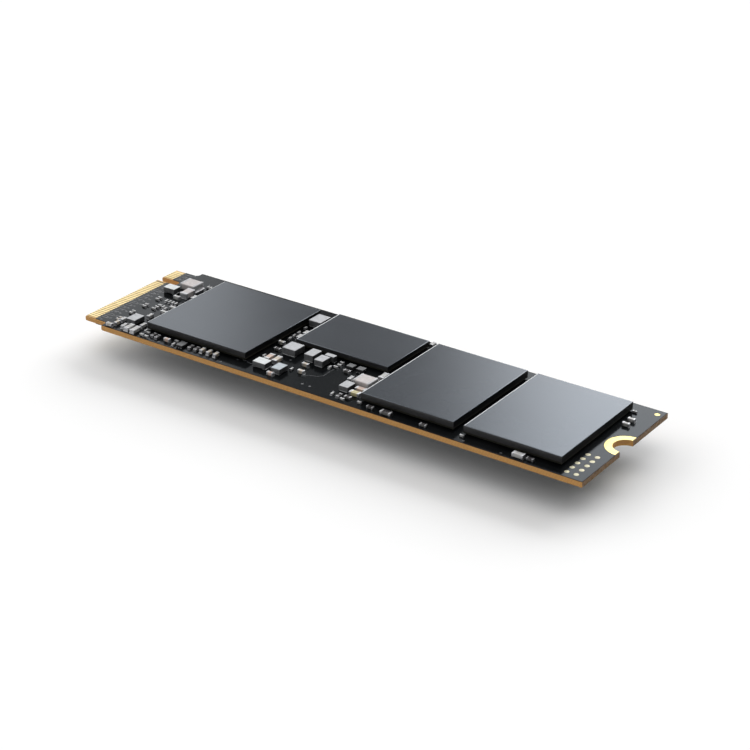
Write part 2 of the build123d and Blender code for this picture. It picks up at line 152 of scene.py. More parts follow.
class Card:
    """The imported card: its nodes, the solids in them, its finishes, and the pieces made for it."""

    def __init__(self, frame: dict[str, Any]) -> None:
        """Keeps the frame's nodes, and builds the finishes.
        """
        self.nodes: dict[str, Object] = frame["nodes"]
        effects = SharedEffects()
        self.finishes = {finish.name: finish.build(effects) for finish in FINISHES}

    @property
    def start(self) -> float:
        """Where the connector end is on X."""
        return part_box(BOARD)[0].x

    def solids(self, node: str) -> list[Solid]:
        """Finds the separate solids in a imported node.

        Args:
            node: The node's name.

        Returns:
            One solid for each part of the mesh that hangs together.
        """
        bm = bmesh.new()
        bm.from_mesh(self.nodes[node].data)
        bmesh.ops.remove_doubles(bm, verts=bm.verts, dist=WELD)
        waiting = set(bm.verts)
        found = []
        while waiting:
            island = [waiting.pop()]
            for vert in island:
                for edge in vert.link_edges:
                    other = edge.other_vert(vert)
                    if other in waiting:
                        waiting.remove(other)
                        island.append(other)
            corners = [v.co for v in island]
            low = Vector(tuple(min(c[k] for c in corners) for k in range(3)))
            high = Vector(tuple(max(c[k] for c in corners) for k in range(3)))
            found.append(Solid(low, high))
        bm.free()
        return sorted(found, key=lambda s: (s.low.x, s.low.y))

    def dress(self, finish: str, *nodes: str) -> None:
        """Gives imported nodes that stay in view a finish.

        Args:
            finish: The finish's name.
            nodes: The names of the nodes.
        """
        for node in nodes:
            data = self.nodes[node].data
            data.materials.clear()
            data.materials.append(self.finishes[finish])
            log.info("dressed %s", node)

    def add(
        self,
        bm: BMesh,
        name: str,
        finishes: Sequence[str],
        slot: str,
        stands_for: Sequence[str] = (),
        crease: float = 35.0,
    ) -> None:
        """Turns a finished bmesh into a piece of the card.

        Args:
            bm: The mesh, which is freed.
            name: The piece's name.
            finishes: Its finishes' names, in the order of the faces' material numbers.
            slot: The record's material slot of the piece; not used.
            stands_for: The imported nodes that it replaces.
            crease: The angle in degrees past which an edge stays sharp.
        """
        piece = make_object(bm, name)
        mesh = piece.data
        for finish in finishes:
            mesh.materials.append(self.finishes[finish])
        mesh.shade_smooth()
        mesh.set_sharp_from_angle(angle=math.radians(crease))
        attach(piece, BODY)
        if stands_for:
            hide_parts(*stands_for)
        log.info("made %s with %d faces", name, len(mesh.polygons))

    def add_terminals(self, node: str, edge_break: float) -> None:
        """Models a node's tin plated terminals, with their edges broken.

        Args:
            node: The node that they stand for.
            edge_break: The width of the broken edges.
        """
        bm = bmesh.new()
        for solid in self.solids(node):
            add_block(bm, solid, edge_break, 1)
        self.add(bm, f"{node}_plated", ["tin_plated_end"], "terminal_metal", [node])


def add_block(
    bm: BMesh,
    solid: Solid,
    rounding: float,
    segments: int = 2,
    material: int = 0,
    top_material: int | None = None,
    end_material: int | None = None,
    top_only: bool = False,
    margin: float | None = None,
) -> None:
    """Adds a block with rounded edges.

    Args:
        bm: The mesh to add to.
        solid: The box that the block fills.
        rounding: The width of the rounding.
        segments: The steps in the rounding.
        material: The material number of its faces.
        top_material: The material number of its top face, if another.
        end_material: The material number of the two faces that look along the card, if another.
        top_only: True to round the edges of the top face alone.
        margin: The width of the margin round its flat faces, if not a share of the rounding.
    """
    before = set(bm.faces)
    place = Matrix.Translation(solid.middle) @ Matrix.Diagonal((*solid.size, 1.0))
    verts = bmesh.ops.create_cube(bm, size=1.0, matrix=place)["verts"]
    for face in {f for v in verts for f in v.link_faces}:
        face.normal_update()
        face.material_index = material
        if face.normal.z > FACING and top_material is not None:
            face.material_index = top_material
        if abs(face.normal.x) > FACING and end_material is not None:
            face.material_index = end_material
    edges = {e for v in verts for e in v.link_edges}
    if top_only:
        edges = {e for e in edges if all(v.co.z > solid.middle.z for v in e.verts)}
    bmesh.ops.bevel(
        bm, geom=list(edges), offset=rounding, offset_type="OFFSET", segments=segments, profile=0.5,
        affect="EDGES", clamp_overlap=True, material=-1,
    )
    if segments > 1:
        fresh = [face for face in bm.faces if face not in before]
        keep_flat(bm, fresh, MARGIN * rounding if margin is None else margin)


def keep_flat(bm: BMesh, faces: Iterable[BMFace], margin: float) -> None:
    """Cuts a narrow margin into a block's flat faces, so that smooth shading stays on its rounded edges.

    Args:
        bm: The mesh.
        faces: The block's faces.
        margin: The width of the margin.
    """
    flat = []
    for face in faces:
        face.normal_update()
        if max(abs(c) for c in face.normal) > FLAT:
            flat.append(face)
    bmesh.ops.inset_individual(bm, faces=flat, thickness=margin, depth=0.0, use_even_offset=True)


def add_copies(bm: BMesh, one: BMesh, places: Iterable[Vector]) -> None:
    """Adds a copy of a small mesh at each place.

    Args:
        bm: The mesh to add to.
        one: The small mesh, around the origin. It is freed.
        places: Where the copies go.
    """
    pattern = bpy.data.meshes.new("pattern")
    one.to_mesh(pattern)
    one.free()
    for place in places:
        first = len(bm.verts)
        bm.from_mesh(pattern)
        bm.verts.ensure_lookup_table()
        bmesh.ops.translate(bm, verts=bm.verts[first:], vec=place)
    bpy.data.meshes.remove(pattern)


def add_fillet(bm: BMesh, foot: Vector, outwards: Vector, width: float, reach: float, height: float) -> None:
    """Adds the solder fillet in front of a chip's end: hollow in profile, rounded at its two sides.

    Args:
        bm: The mesh to add to.
        foot: The middle of the foot of the end face, on the board.
        outwards: The direction that the end face looks in.
        width: The width of the end.
        reach: How far the solder runs out on the board.
        height: How far it climbs up the end face.
    """
    across = Vector((-outwards.y, outwards.x, 0))
    centre = foot - across * (width / 2 + FILLET_SPILL)
    verts = []
    for u, w in FILLET_PROFILE:
        climb = Vector((0, 0, FILLET_SIDE_CLIMB * height * w - FILLET_SINK))
        verts.append(bm.verts.new(centre + outwards * (FILLET_SIDE_REACH * reach * u) + climb))
    face = bm.faces.new(verts)
    side = FILLET_SIDE * width
    steps = (
        (side, 1 / FILLET_SIDE_REACH, 1 / FILLET_SIDE_CLIMB),
        (width - 2 * side + 2 * FILLET_SPILL, 1.0, 1.0),
        (side, FILLET_SIDE_REACH, FILLET_SIDE_CLIMB),
    )
    for step, reach_scale, climb_scale in steps:
        grown = bmesh.ops.extrude_face_region(bm, geom=[face])
        moved = [g for g in grown["geom"] if isinstance(g, BMVert)]
        face = next(g for g in grown["geom"] if isinstance(g, BMFace))
        bmesh.ops.translate(bm, verts=moved, vec=across * step)
        centre = centre + across * step
        for vert in moved:
            offset = vert.co - centre
            along = offset.dot(outwards) * reach_scale
            lift = (offset.z + FILLET_SINK) * climb_scale
            vert.co = centre + outwards * along + Vector((0, 0, lift - FILLET_SINK))


class Ceramic(Enum):
    """The fired colours of the chip capacitors."""

    PALE = (0.47, 0.47, 0.46)
    DARK = (0.085, 0.080, 0.078)
    CREAM = (0.54, 0.48, 0.40)
    PEACH = (0.60, 0.46, 0.39)
    YELLOW = (0.56, 0.50, 0.28)
    SAND = (0.40, 0.38, 0.34)
    PINK = (0.55, 0.51, 0.50)

    @property
    def finish(self) -> str:
        """The name of its finish."""
        return f"ceramic_{self.name.lower()}"


class Powder(Enum):
    """The tones of the moulded inductors' tops; their sides and ends take darker copies, as painted shade.
    """

    GREY = (0.46, 0.47, 0.49)
    LIGHT = (0.70, 0.73, 0.74)
    BLUE = (0.44, 0.49, 0.53)

    @property
    def finish(self) -> str:
        """The name of its finish."""
        return f"ground_top_{self.name.lower()}"


@dataclass(frozen=True)
class Chip:
    """A two-ended chip on the board, as its solids give it."""

    body: Solid
    ends: tuple[Solid, Solid]

    @property
    def along(self) -> Vector:
        """The direction from its first end to its second."""
        way = self.ends[1].middle - self.ends[0].middle
        return Vector((1, 0, 0)) if abs(way.x) > abs(way.y) else Vector((0, 1, 0))

    @property
    def box(self) -> Solid:
        """The box around the whole chip."""
        return self.ends[0].join(self.ends[1])

    def length(self, solid: Solid) -> float:
        """Returns a solid's length along the chip.

        Args:
            solid: One of the chip's solids.
        """
        return abs(solid.size.dot(self.along))

    @property
    def width(self) -> float:
        """The chip's width across."""
        size = self.box.size
        return size.y if self.along.x else size.x

    @property
    def core(self) -> Solid:
        """The ceramic, which runs a little way into the metal ends."""
        tuck = self.along * (TUCK * self.length(self.ends[0]))
        return Solid(self.body.low - tuck, self.body.high + tuck)


def find_chips(bodies: list[Solid], ends: list[Solid]) -> list[Chip]:
    """Pairs each ceramic body with the two metal ends that touch it.

    Args:
        bodies: The ceramic solids.
        ends: The metal solids.

    Returns:
        The chips, in the order of the bodies.
    """
    chips = []
    for body in bodies:
        nearest = sorted(ends, key=lambda e: (e.middle - body.middle).length)[:2]
        nearest.sort(key=lambda e: (e.middle.x, e.middle.y))
        chips.append(Chip(body, (nearest[0], nearest[1])))
    return chips


@dataclass
class Recipe:
    """A node tree in the making: a material or a shared group."""

    tree: NodeTree

    def node(self, kind: str, **inputs: Any) -> Node:
        """Adds a node and fills its inputs.

        Args:
            kind: The node's type name.
            inputs: Sockets or values by input name, with underscores for spaces.

        Returns:
            The node.
        """
        node = self.tree.nodes.new(kind)
        for name, value in inputs.items():
            self.fill(node.inputs[name.replace("_", " ")], value)
        return node

    def fill(self, target: NodeSocket, value: Any) -> None:
        """Links an input to a socket, or sets it to a value.

        Args:
            target: The input.
            value: The socket or the value.
        """
        if isinstance(value, NodeSocket):
            self.link(value, target)
        else:
            target.default_value = value

    def link(self, source: NodeSocket, target: NodeSocket) -> None:
        """Links an output to an input.

        Args:
            source: The output.
            target: The input.
        """
        self.tree.links.new(source, target)

    def object_point(self) -> NodeSocket:
        """Returns the Object coordinates, which are the card's own frame."""
        return self.node("ShaderNodeTexCoord").outputs["Object"]

    def noise(self, scale: float | NodeSocket, detail: float, point: NodeSocket) -> NodeSocket:
        """Adds a noise texture.

        Args:
            scale: Its scale in repeats a metre, or a socket that gives it.
            detail: Its octaves.
            point: Where it is read.

        Returns:
            Its value.
        """
        noise = self.node("ShaderNodeTexNoise", Scale=scale, Detail=detail, Vector=point)
        return noise.outputs["Fac"]

    def math(self, operation: str, *values: float | NodeSocket, clamp: bool = False) -> NodeSocket:
        """Adds a sum on numbers.

        Args:
            operation: The operation's name.
            values: Its operands.
            clamp: True to keep the result between 0 and 1.

        Returns:
            The result.
        """
        node = self.tree.nodes.new("ShaderNodeMath")
        node.operation = operation
        node.use_clamp = clamp
        for place, value in enumerate(values):
            self.fill(node.inputs[place], value)
        return node.outputs[0]

    def blend(self, share: NodeSocket, low: Any, high: Any) -> NodeSocket:
        """Mixes two colours.

        Args:
            share: How much of the second, from 0 to 1.
            low: The first colour, or a socket.
            high: The second colour, or a socket.

        Returns:
            The mixed colour.
        """
        node = self.tree.nodes.new("ShaderNodeMix")
        node.data_type = "RGBA"
        self.link(share, node.inputs["Factor"])
        for name, value in (("A", low), ("B", high)):
            target = next(s for s in node.inputs if s.name == name and s.type == "RGBA")
            self.fill(target, value if isinstance(value, NodeSocket) else (*value, 1.0))
        return next(s for s in node.outputs if s.type == "RGBA")

    def span(
        self,
        value: NodeSocket,
        low: float,
        high: float,
        to_low: float,
        to_high: float,
        smooth: bool = False,
    ) -> NodeSocket:
        """Maps a range onto another, clamped.

        Args:
            value: The number to map.
            low: The range's start.
            high: The range's end.
            to_low: What the start becomes.
            to_high: What the end becomes.
            smooth: True to ease in and out.

        Returns:
            The mapped number.
        """
        node = self.node("ShaderNodeMapRange", From_Min=low, From_Max=high, To_Min=to_low, To_Max=to_high)
        if smooth:
            node.interpolation_type = "SMOOTHSTEP"
        self.link(value, node.inputs["Value"])
        return node.outputs["Result"]


class SharedEffects:
    """The shader node groups that several finishes use, each built once."""

    def __init__(self) -> None:
        """Builds the groups."""
        self.grain = self._group(
            "fine_grain",
            {"Grain Scale": 9000.0, "Cloud Scale": 400.0},
            ("Height", "Cloud"),
            self._fill_grain,
        )
        self.layers = self._group(
            "glass_layers",
            {"Layer Pitch": 0.13 * MM, "Fibre Scale": 2500.0},
            ("Layer", "Fibre"),
            self._fill_layers,
        )
        self.plating = self._group(
            "plating",
            {"Streak Scale": 1500.0, "Stretch": 0.15},
            ("Height", "Streak"),
            self._fill_plating,
        )

    @staticmethod
    def _group(
        name: str,
        inputs: dict[str, float],
        outputs: Sequence[str],
        fill: Callable[[Recipe, Node, Node], None],
    ) -> NodeTree:
        """Makes a node group with named number sockets.

        Args:
            name: The group's name.
            inputs: Its inputs with their usual values.
            outputs: Its outputs.
            fill: Builds what lies between them.

        Returns:
            The group.
        """
        tree = bpy.data.node_groups.new(name, "ShaderNodeTree")
        for socket, value in inputs.items():
            entry = tree.interface.new_socket(socket, in_out="INPUT", socket_type="NodeSocketFloat")
            entry.default_value = value
        for socket in outputs:
            tree.interface.new_socket(socket, in_out="OUTPUT", socket_type="NodeSocketFloat")
        recipe = Recipe(tree)
        fill(recipe, recipe.node("NodeGroupInput"), recipe.node("NodeGroupOutput"))
        return tree

    @staticmethod
    def _fill_grain(recipe: Recipe, given: Node, out: Node) -> None:
        """Fills the grain group: fine pits, and slow clouds of tone.

        Args:
            recipe: The group's tree.
            given: Its input node.
            out: Its output node.
        """
        point = recipe.object_point()
        fine = recipe.noise(given.outputs["Grain Scale"], 3.0, point)
        cloud = recipe.noise(given.outputs["Cloud Scale"], 2.0, point)
        recipe.link(fine, out.inputs["Height"])
        recipe.link(recipe.span(cloud, 0.3, 0.7, 0.0, 1.0), out.inputs["Cloud"])

    @staticmethod
    def _fill_layers(recipe: Recipe, given: Node, out: Node) -> None:
        """Fills the laminate group: glass cloth in layers through the board, and its fibres.

        Args:
            recipe: The group's tree.
            given: Its input node.
            out: Its output node.
        """
        point = recipe.object_point()
        height = recipe.node("ShaderNodeSeparateXYZ", Vector=point).outputs["Z"]
        drift = recipe.math("MULTIPLY", recipe.noise(900.0, 1.0, point), 0.04 * MM)
        height = recipe.math("ADD", height, drift)
        turns = recipe.math("DIVIDE", height, given.outputs["Layer Pitch"])
        wave = recipe.math("SINE", recipe.math("MULTIPLY", turns, 2 * math.pi))
        recipe.link(recipe.span(wave, -0.2, 1.0, 0.0, 1.0), out.inputs["Layer"])
        fibre = recipe.noise(given.outputs["Fibre Scale"], 4.0, point)
        recipe.link(recipe.span(fibre, 0.35, 0.65, 0.0, 1.0), out.inputs["Fibre"])

    @staticmethod
    def _fill_plating(recipe: Recipe, given: Node, out: Node) -> None:
        """Fills the plating group: fine streaks along the card, and a soft ripple.

        Args:
            recipe: The group's tree.
            given: Its input node.
            out: Its output node.
        """
        point = recipe.object_point()
        stretch = recipe.node("ShaderNodeCombineXYZ", X=given.outputs["Stretch"], Y=1.0, Z=1.0)
        scaled = recipe.tree.nodes.new("ShaderNodeVectorMath")
        scaled.operation = "MULTIPLY"
        recipe.link(point, scaled.inputs[0])
        recipe.link(stretch.outputs[0], scaled.inputs[1])
        streak = recipe.noise(given.outputs["Streak Scale"], 3.0, scaled.outputs[0])
        ripple = recipe.noise(given.outputs["Streak Scale"], 1.0, point)
        recipe.link(recipe.math("ADD", streak, ripple), out.inputs["Height"])
        recipe.link(recipe.span(streak, 0.35, 0.65, 0.0, 1.0), out.inputs["Streak"])


@dataclass(frozen=True)
class Effect:
    """A shared group in use: its attribute in SharedEffects, and the values of its inputs."""

    group: str
    sizes: dict[str, float]


def grain(scale: float, clouds: float) -> Effect:
    """Returns the grain group, with the scales of its pits and of its clouds."""
    return Effect("grain", {"Grain Scale": scale, "Cloud Scale": clouds})


def layers(pitch: float, fibres: float) -> Effect:
    """Returns the laminate group, with its layers' pitch and its fibres' scale."""
    return Effect("layers", {"Layer Pitch": pitch, "Fibre Scale": fibres})


def streaks(scale: float, stretch: float) -> Effect:
    """Returns the plating group, with the scale and stretch of its streaks."""
    return Effect("plating", {"Streak Scale": scale, "Stretch": stretch})


@dataclass(frozen=True)
class Finish:
    """A finish: one Principled surface whose tone, roughness and height vary over the part.

    Attributes:
        name: The material's name.
        low: Its darker colour.
        high: Its lighter colour.
        rough: Its roughness at the smoothest and at the roughest.
        effect: The shared group that it varies by.
        bump: The height of its relief, in metres.
        metallic: 1 for a metal.
        specular: The specular level, where 0.5 is usual.
        tint: The colour of its gloss seen straight on.
        coat: The weight of a clear coat.
    """

    name: str
    low: Colour
    high: Colour
    rough: tuple[float, float]
    effect: Effect
    bump: float = 0.0
    metallic: float = 0.0
    specular: float = 0.5
    tint: Colour = (1.0, 1.0, 1.0)
    coat: float = 0.0

    OUTPUTS = {"grain": ("Height", "Cloud"), "layers": ("Fibre", "Layer"), "plating": ("Height", "Streak")}

    def build(self, effects: SharedEffects) -> Material:
        """Builds the material.

        Args:
            effects: The shared groups.

        Returns:
            The material.
        """
        material = bpy.data.materials.new(self.name)
        material.use_nodes = True
        recipe = Recipe(material.node_tree)
        surface = recipe.tree.nodes["Principled BSDF"]
        surface.inputs["Metallic"].default_value = self.metallic
        surface.inputs["Specular IOR Level"].default_value = self.specular
        surface.inputs["Specular Tint"].default_value = (*self.tint, 1.0)
        surface.inputs["Coat Weight"].default_value = self.coat
        surface.inputs["Coat Roughness"].default_value = 0.08
        group = recipe.tree.nodes.new("ShaderNodeGroup")
        group.node_tree = getattr(effects, self.effect.group)
        for socket, value in self.effect.sizes.items():
            group.inputs[socket].default_value = value
        height, tone = (group.outputs[name] for name in self.OUTPUTS[self.effect.group])
        base = self._shade(recipe, recipe.blend(tone, self.low, self.high))
        recipe.link(base, surface.inputs["Base Color"])
        recipe.link(recipe.span(height, 0.3, 0.7, *self.rough), surface.inputs["Roughness"])
        if self.bump:
            relief = recipe.node("ShaderNodeBump", Strength=1.0, Distance=self.bump)
            recipe.link(height, relief.inputs["Height"])
            recipe.link(relief.outputs["Normal"], surface.inputs["Normal"])
        return material

    def _shade(self, recipe: Recipe, colour: NodeSocket) -> NodeSocket:
        """Returns the base colour; a finish with marks or painted shade of its own works them in here."""
        return colour


@dataclass(frozen=True)
class LaminateFinish(Finish):
    """The cut glass-fibre laminate: amber edges, bare faces beside the contacts, painted shade between the
    contacts and at the rims, and a tail end darkened as painted shade.

    Attributes:
        rim_painted_shade_tone: The colour of the faces at the rims, where no mask covers them, near black as
            painted shade along the mask's edge.
        gap_painted_shade_tone: The colour of the face between the contacts, dark as painted shade between
            them.
        tongue_tone: The colour of the face beside the contacts.
        end_painted_shade_tones: The two colours of the tail end, darker than the cut edges as painted shade.
        face_at: The heights of the two faces.
        end_at: Where the tail end is.
        tongue_at: Where the bare face of the tongue ends.
        contact_reach: How far across the card the contacts reach.
        key: Where the key notch is across the card, and half the width that it keeps free of contacts.
    """

    rim_painted_shade_tone: Colour = (0.045, 0.028, 0.014)
    gap_painted_shade_tone: Colour = (0.05, 0.035, 0.02)
    tongue_tone: Colour = (0.60, 0.40, 0.17)
    end_painted_shade_tones: tuple[Colour, Colour] = ((0.12, 0.068, 0.028), (0.24, 0.145, 0.070))
    face_at: tuple[float, float] = (0.031 * MM, 0.769 * MM)
    end_at: float = 39.99 * MM
    tongue_at: float = -38.0 * MM
    contact_reach: float = 9.45 * MM
    key: tuple[float, float] = (6.125 * MM, 0.9 * MM)

    def _shade(self, recipe: Recipe, colour: NodeSocket) -> NodeSocket:
        """Works in the faces, with painted shade between the contacts and at the rims, and the tail end,
        darkened as painted shade.

        Args:
            recipe: The material's tree.
            colour: The colour of the cut edge.

        Returns:
            The colour with the faces and the end worked in.
        """
        point = recipe.object_point()
        along, across, height = recipe.node("ShaderNodeSeparateXYZ", Vector=point).outputs
        fibre = recipe.span(recipe.noise(2600.0, 2.0, point), 0.3, 0.7, 0.0, 1.0)
        # The tail end takes darker tones than the cut edges: painted shade.
        end = recipe.blend(fibre, *self.end_painted_shade_tones)
        colour = recipe.blend(recipe.math("GREATER_THAN", along, self.end_at), colour, end)
        from_key = recipe.math("ABSOLUTE", recipe.math("SUBTRACT", across, self.key[0]))
        # Between the contacts the bare face turns dark: painted shade.
        between = recipe.math("LESS_THAN", recipe.math("ABSOLUTE", across), self.contact_reach)
        between = recipe.math("MULTIPLY", between, recipe.math("GREATER_THAN", from_key, self.key[1]))
        bare = recipe.blend(between, self.tongue_tone, self.gap_painted_shade_tone)
        on_tongue = recipe.math("LESS_THAN", along, self.tongue_at)
        # Off the tongue the bare faces at the rims are near black: painted shade along the mask's edge.
        face = recipe.blend(on_tongue, self.rim_painted_shade_tone, bare)
        above = recipe.math("GREATER_THAN", height, self.face_at[1])
        below = recipe.math("LESS_THAN", height, self.face_at[0])
        return recipe.blend(recipe.math("MAXIMUM", above, below), colour, face)


def toned(tone: Ceramic | Powder, lift: float, *values: Any) -> Finish:
    """Returns a finish around one tone, from a little darker to a little lighter."""
    low, high = (tuple(share * c for c in tone.value) for share in (0.86, lift))
    return Finish(tone.finish, low, high, *values)


FINE, PRESSED = grain(12000.0, 180.0), grain(6000.0, 1500.0)
PAD, CUP, JOINT = streaks(2500.0, 0.6), streaks(5000.0, 1.0), streaks(2200.0, 1.0)

FINISHES: tuple[Finish, ...] = (
    LaminateFinish(
        "cut_laminate", (0.40, 0.19, 0.05), (0.82, 0.47, 0.17), (0.45, 0.7), layers(0.16 * MM, 1900.0),
        0.01 * MM, specular=0.2,
    ),
    Finish(
        "substrate_edge", (0.008, 0.008, 0.006), (0.035, 0.034, 0.022), (0.5, 0.75),
        layers(0.12 * MM, 4000.0), specular=0.2,
    ),
    Finish(
        "black_solder_mask", (0.002, 0.0025, 0.003), (0.005, 0.0055, 0.006), (0.11, 0.17),
        grain(2500.0, 300.0), 0.0006 * MM, specular=0.10, tint=(0.4, 0.7, 1.0),
    ),
    Finish(
        "copper_under_mask", (0.030, 0.032, 0.037), (0.070, 0.074, 0.082), (0.16, 0.28),
        grain(3000.0, 500.0),
    ),
    Finish(
        "resistor_glaze", (0.012, 0.011, 0.012), (0.034, 0.027, 0.030), (0.12, 0.3), grain(4000.0, 1500.0),
        coat=0.3,
    ),
    Finish(
        "contact_gold", (0.70, 0.54, 0.26), (0.86, 0.70, 0.37), (0.24, 0.38), streaks(4000.0, 0.1),
        0.002 * MM, metallic=1.0,
    ),
    Finish(
        "bare_pad_gold", (0.56, 0.47, 0.20), (0.70, 0.59, 0.26), (0.26, 0.40), PAD, 0.002 * MM,
        metallic=1.0,
    ),
    Finish(
        "dull_test_pad", (0.32, 0.30, 0.215), (0.42, 0.395, 0.29), (0.28, 0.42), PAD, 0.002 * MM,
        metallic=1.0,
    ),
    Finish(
        "tin_plated_end", (0.42, 0.425, 0.44), (0.54, 0.545, 0.56), (0.28, 0.42), CUP, 0.003 * MM,
        metallic=0.8,
    ),
    Finish(
        "pale_fired_cup", (0.42, 0.42, 0.43), (0.54, 0.54, 0.55), (0.42, 0.60), CUP, 0.003 * MM,
        metallic=0.3,
    ),
    # Darker copy of the plated ends, for the resistors: painted shade.
    Finish(
        "dull_resistor_end", (0.30, 0.30, 0.31), (0.42, 0.42, 0.43), (0.26, 0.40), CUP, 0.003 * MM,
        metallic=0.9,
    ),
    Finish("solder", (0.30, 0.30, 0.31), (0.44, 0.44, 0.45), (0.30, 0.48), JOINT, 0.004 * MM, metallic=1.0),
    # Darker copy of the solder, for the resistors: painted shade.
    Finish(
        "dull_solder", (0.11, 0.11, 0.115), (0.18, 0.18, 0.185), (0.34, 0.50), JOINT, 0.004 * MM,
        metallic=1.0,
    ),
    Finish(
        "mould_top", (0.029, 0.031, 0.035), (0.035, 0.038, 0.043), (0.14, 0.20), FINE, 0.0006 * MM,
        tint=(0.55, 0.75, 1.0),
    ),
    # A pale finish for the packages' top edge on the connector side: a painted highlight.
    Finish("mould_pale_edge", (0.62, 0.64, 0.66), (0.86, 0.88, 0.90), (0.30, 0.50), FINE, 0.001 * MM),
    Finish(
        "mould_sawn_side", (0.015, 0.015, 0.016), (0.027, 0.027, 0.028), (0.20, 0.34),
        streaks(9000.0, 0.2), 0.003 * MM,
    ),
    # Near black, for the packages' two end faces: painted shade.
    Finish(
        "mould_cross_cut", (0.0012, 0.0014, 0.0016), (0.0035, 0.0038, 0.004), (0.30, 0.45),
        streaks(9000.0, 1.0), 0.003 * MM, specular=0.12,
    ),
    Finish(
        "regulator_top", (0.075, 0.078, 0.082), (0.11, 0.115, 0.12), (0.28, 0.42), grain(9000.0, 900.0),
        0.002 * MM,
    ),
    # Darker copy of the powder, for the inductors' sides: painted shade.
    Finish(
        "pressed_powder", (0.085, 0.088, 0.092), (0.165, 0.170, 0.176), (0.45, 0.65), PRESSED, 0.006 * MM,
        specular=0.3,
    ),
    # Darker still, for the inductors' end faces: painted shade.
    Finish(
        "pressed_powder_end", (0.020, 0.021, 0.022), (0.055, 0.057, 0.060), (0.45, 0.65), PRESSED,
        0.006 * MM, specular=0.2,
    ),
    Finish(
        "dark_alumina", (0.07, 0.07, 0.07), (0.13, 0.13, 0.125), (0.5, 0.65), grain(8000.0, 2000.0),
        0.003 * MM,
    ),
    *(toned(tone, 1.08, (0.40, 0.60), grain(5000.0, 1800.0), 0.004 * MM) for tone in Powder),
    *(toned(tone, 1.06, (0.38, 0.55), grain(9000.0, 2500.0), 0.002 * MM) for tone in Ceramic),
)


@dataclass
class Board:
    """The bare board: laminate, mask, contacts and pads."""

    card: Card
    test_pad_dome: float = 0.35
    mark_dome: float = 0.12
    pad_slope: float = 0.35

    def build(self) -> None:
        """Dresses the flat nodes and models the pads."""
        self.card.dress("cut_laminate", BOARD)
        self.card.dress("black_solder_mask", "top_solder_mask")
        contacts = ["top_contacts", "top_key_contacts", "bottom_contacts", "bottom_key_contacts"]
        self.card.dress("contact_gold", *contacts)
        self.card.dress("bare_pad_gold", "top_ground_ring", "bottom_ground_ring")
        self._pads("test_pads", self.test_pad_dome, "dull_test_pad")
        self._pads("alignment_mark", self.mark_dome, "bare_pad_gold")

    def _pads(self, node: str, dome: float, finish: str) -> None:
        """Models round pads with a low dome of plating.

        Args:
            node: The node that they stand for.
            dome: The height of the dome, as a share of the pad's thickness.
            finish: Their finish's name.
        """
        bm = bmesh.new()
        for solid in self.card.solids(node):
            radius = max(solid.size.x, solid.size.y) / 2
            rim = bmesh.ops.create_circle(
                bm, cap_ends=True, radius=radius, segments=24, matrix=Matrix.Translation(
                    (solid.middle.x, solid.middle.y, solid.low.z))
            )
            face = next(iter({f for v in rim["verts"] for f in v.link_faces}))
            grown = bmesh.ops.extrude_face_region(bm, geom=[face])
            top = next(g for g in grown["geom"] if isinstance(g, BMFace))
            bmesh.ops.translate(bm, verts=list(top.verts), vec=(0, 0, solid.size.z * (1 - dome)))
            bmesh.ops.inset_individual(bm, faces=[top], thickness=self.pad_slope * radius, depth=0.0)
            bmesh.ops.translate(bm, verts=list(top.verts), vec=(0, 0, solid.size.z * dome))
        bmesh.ops.recalc_face_normals(bm, faces=bm.faces)
        self.card.add(bm, f"{node}_plated", [finish], "bare_pad", [node])


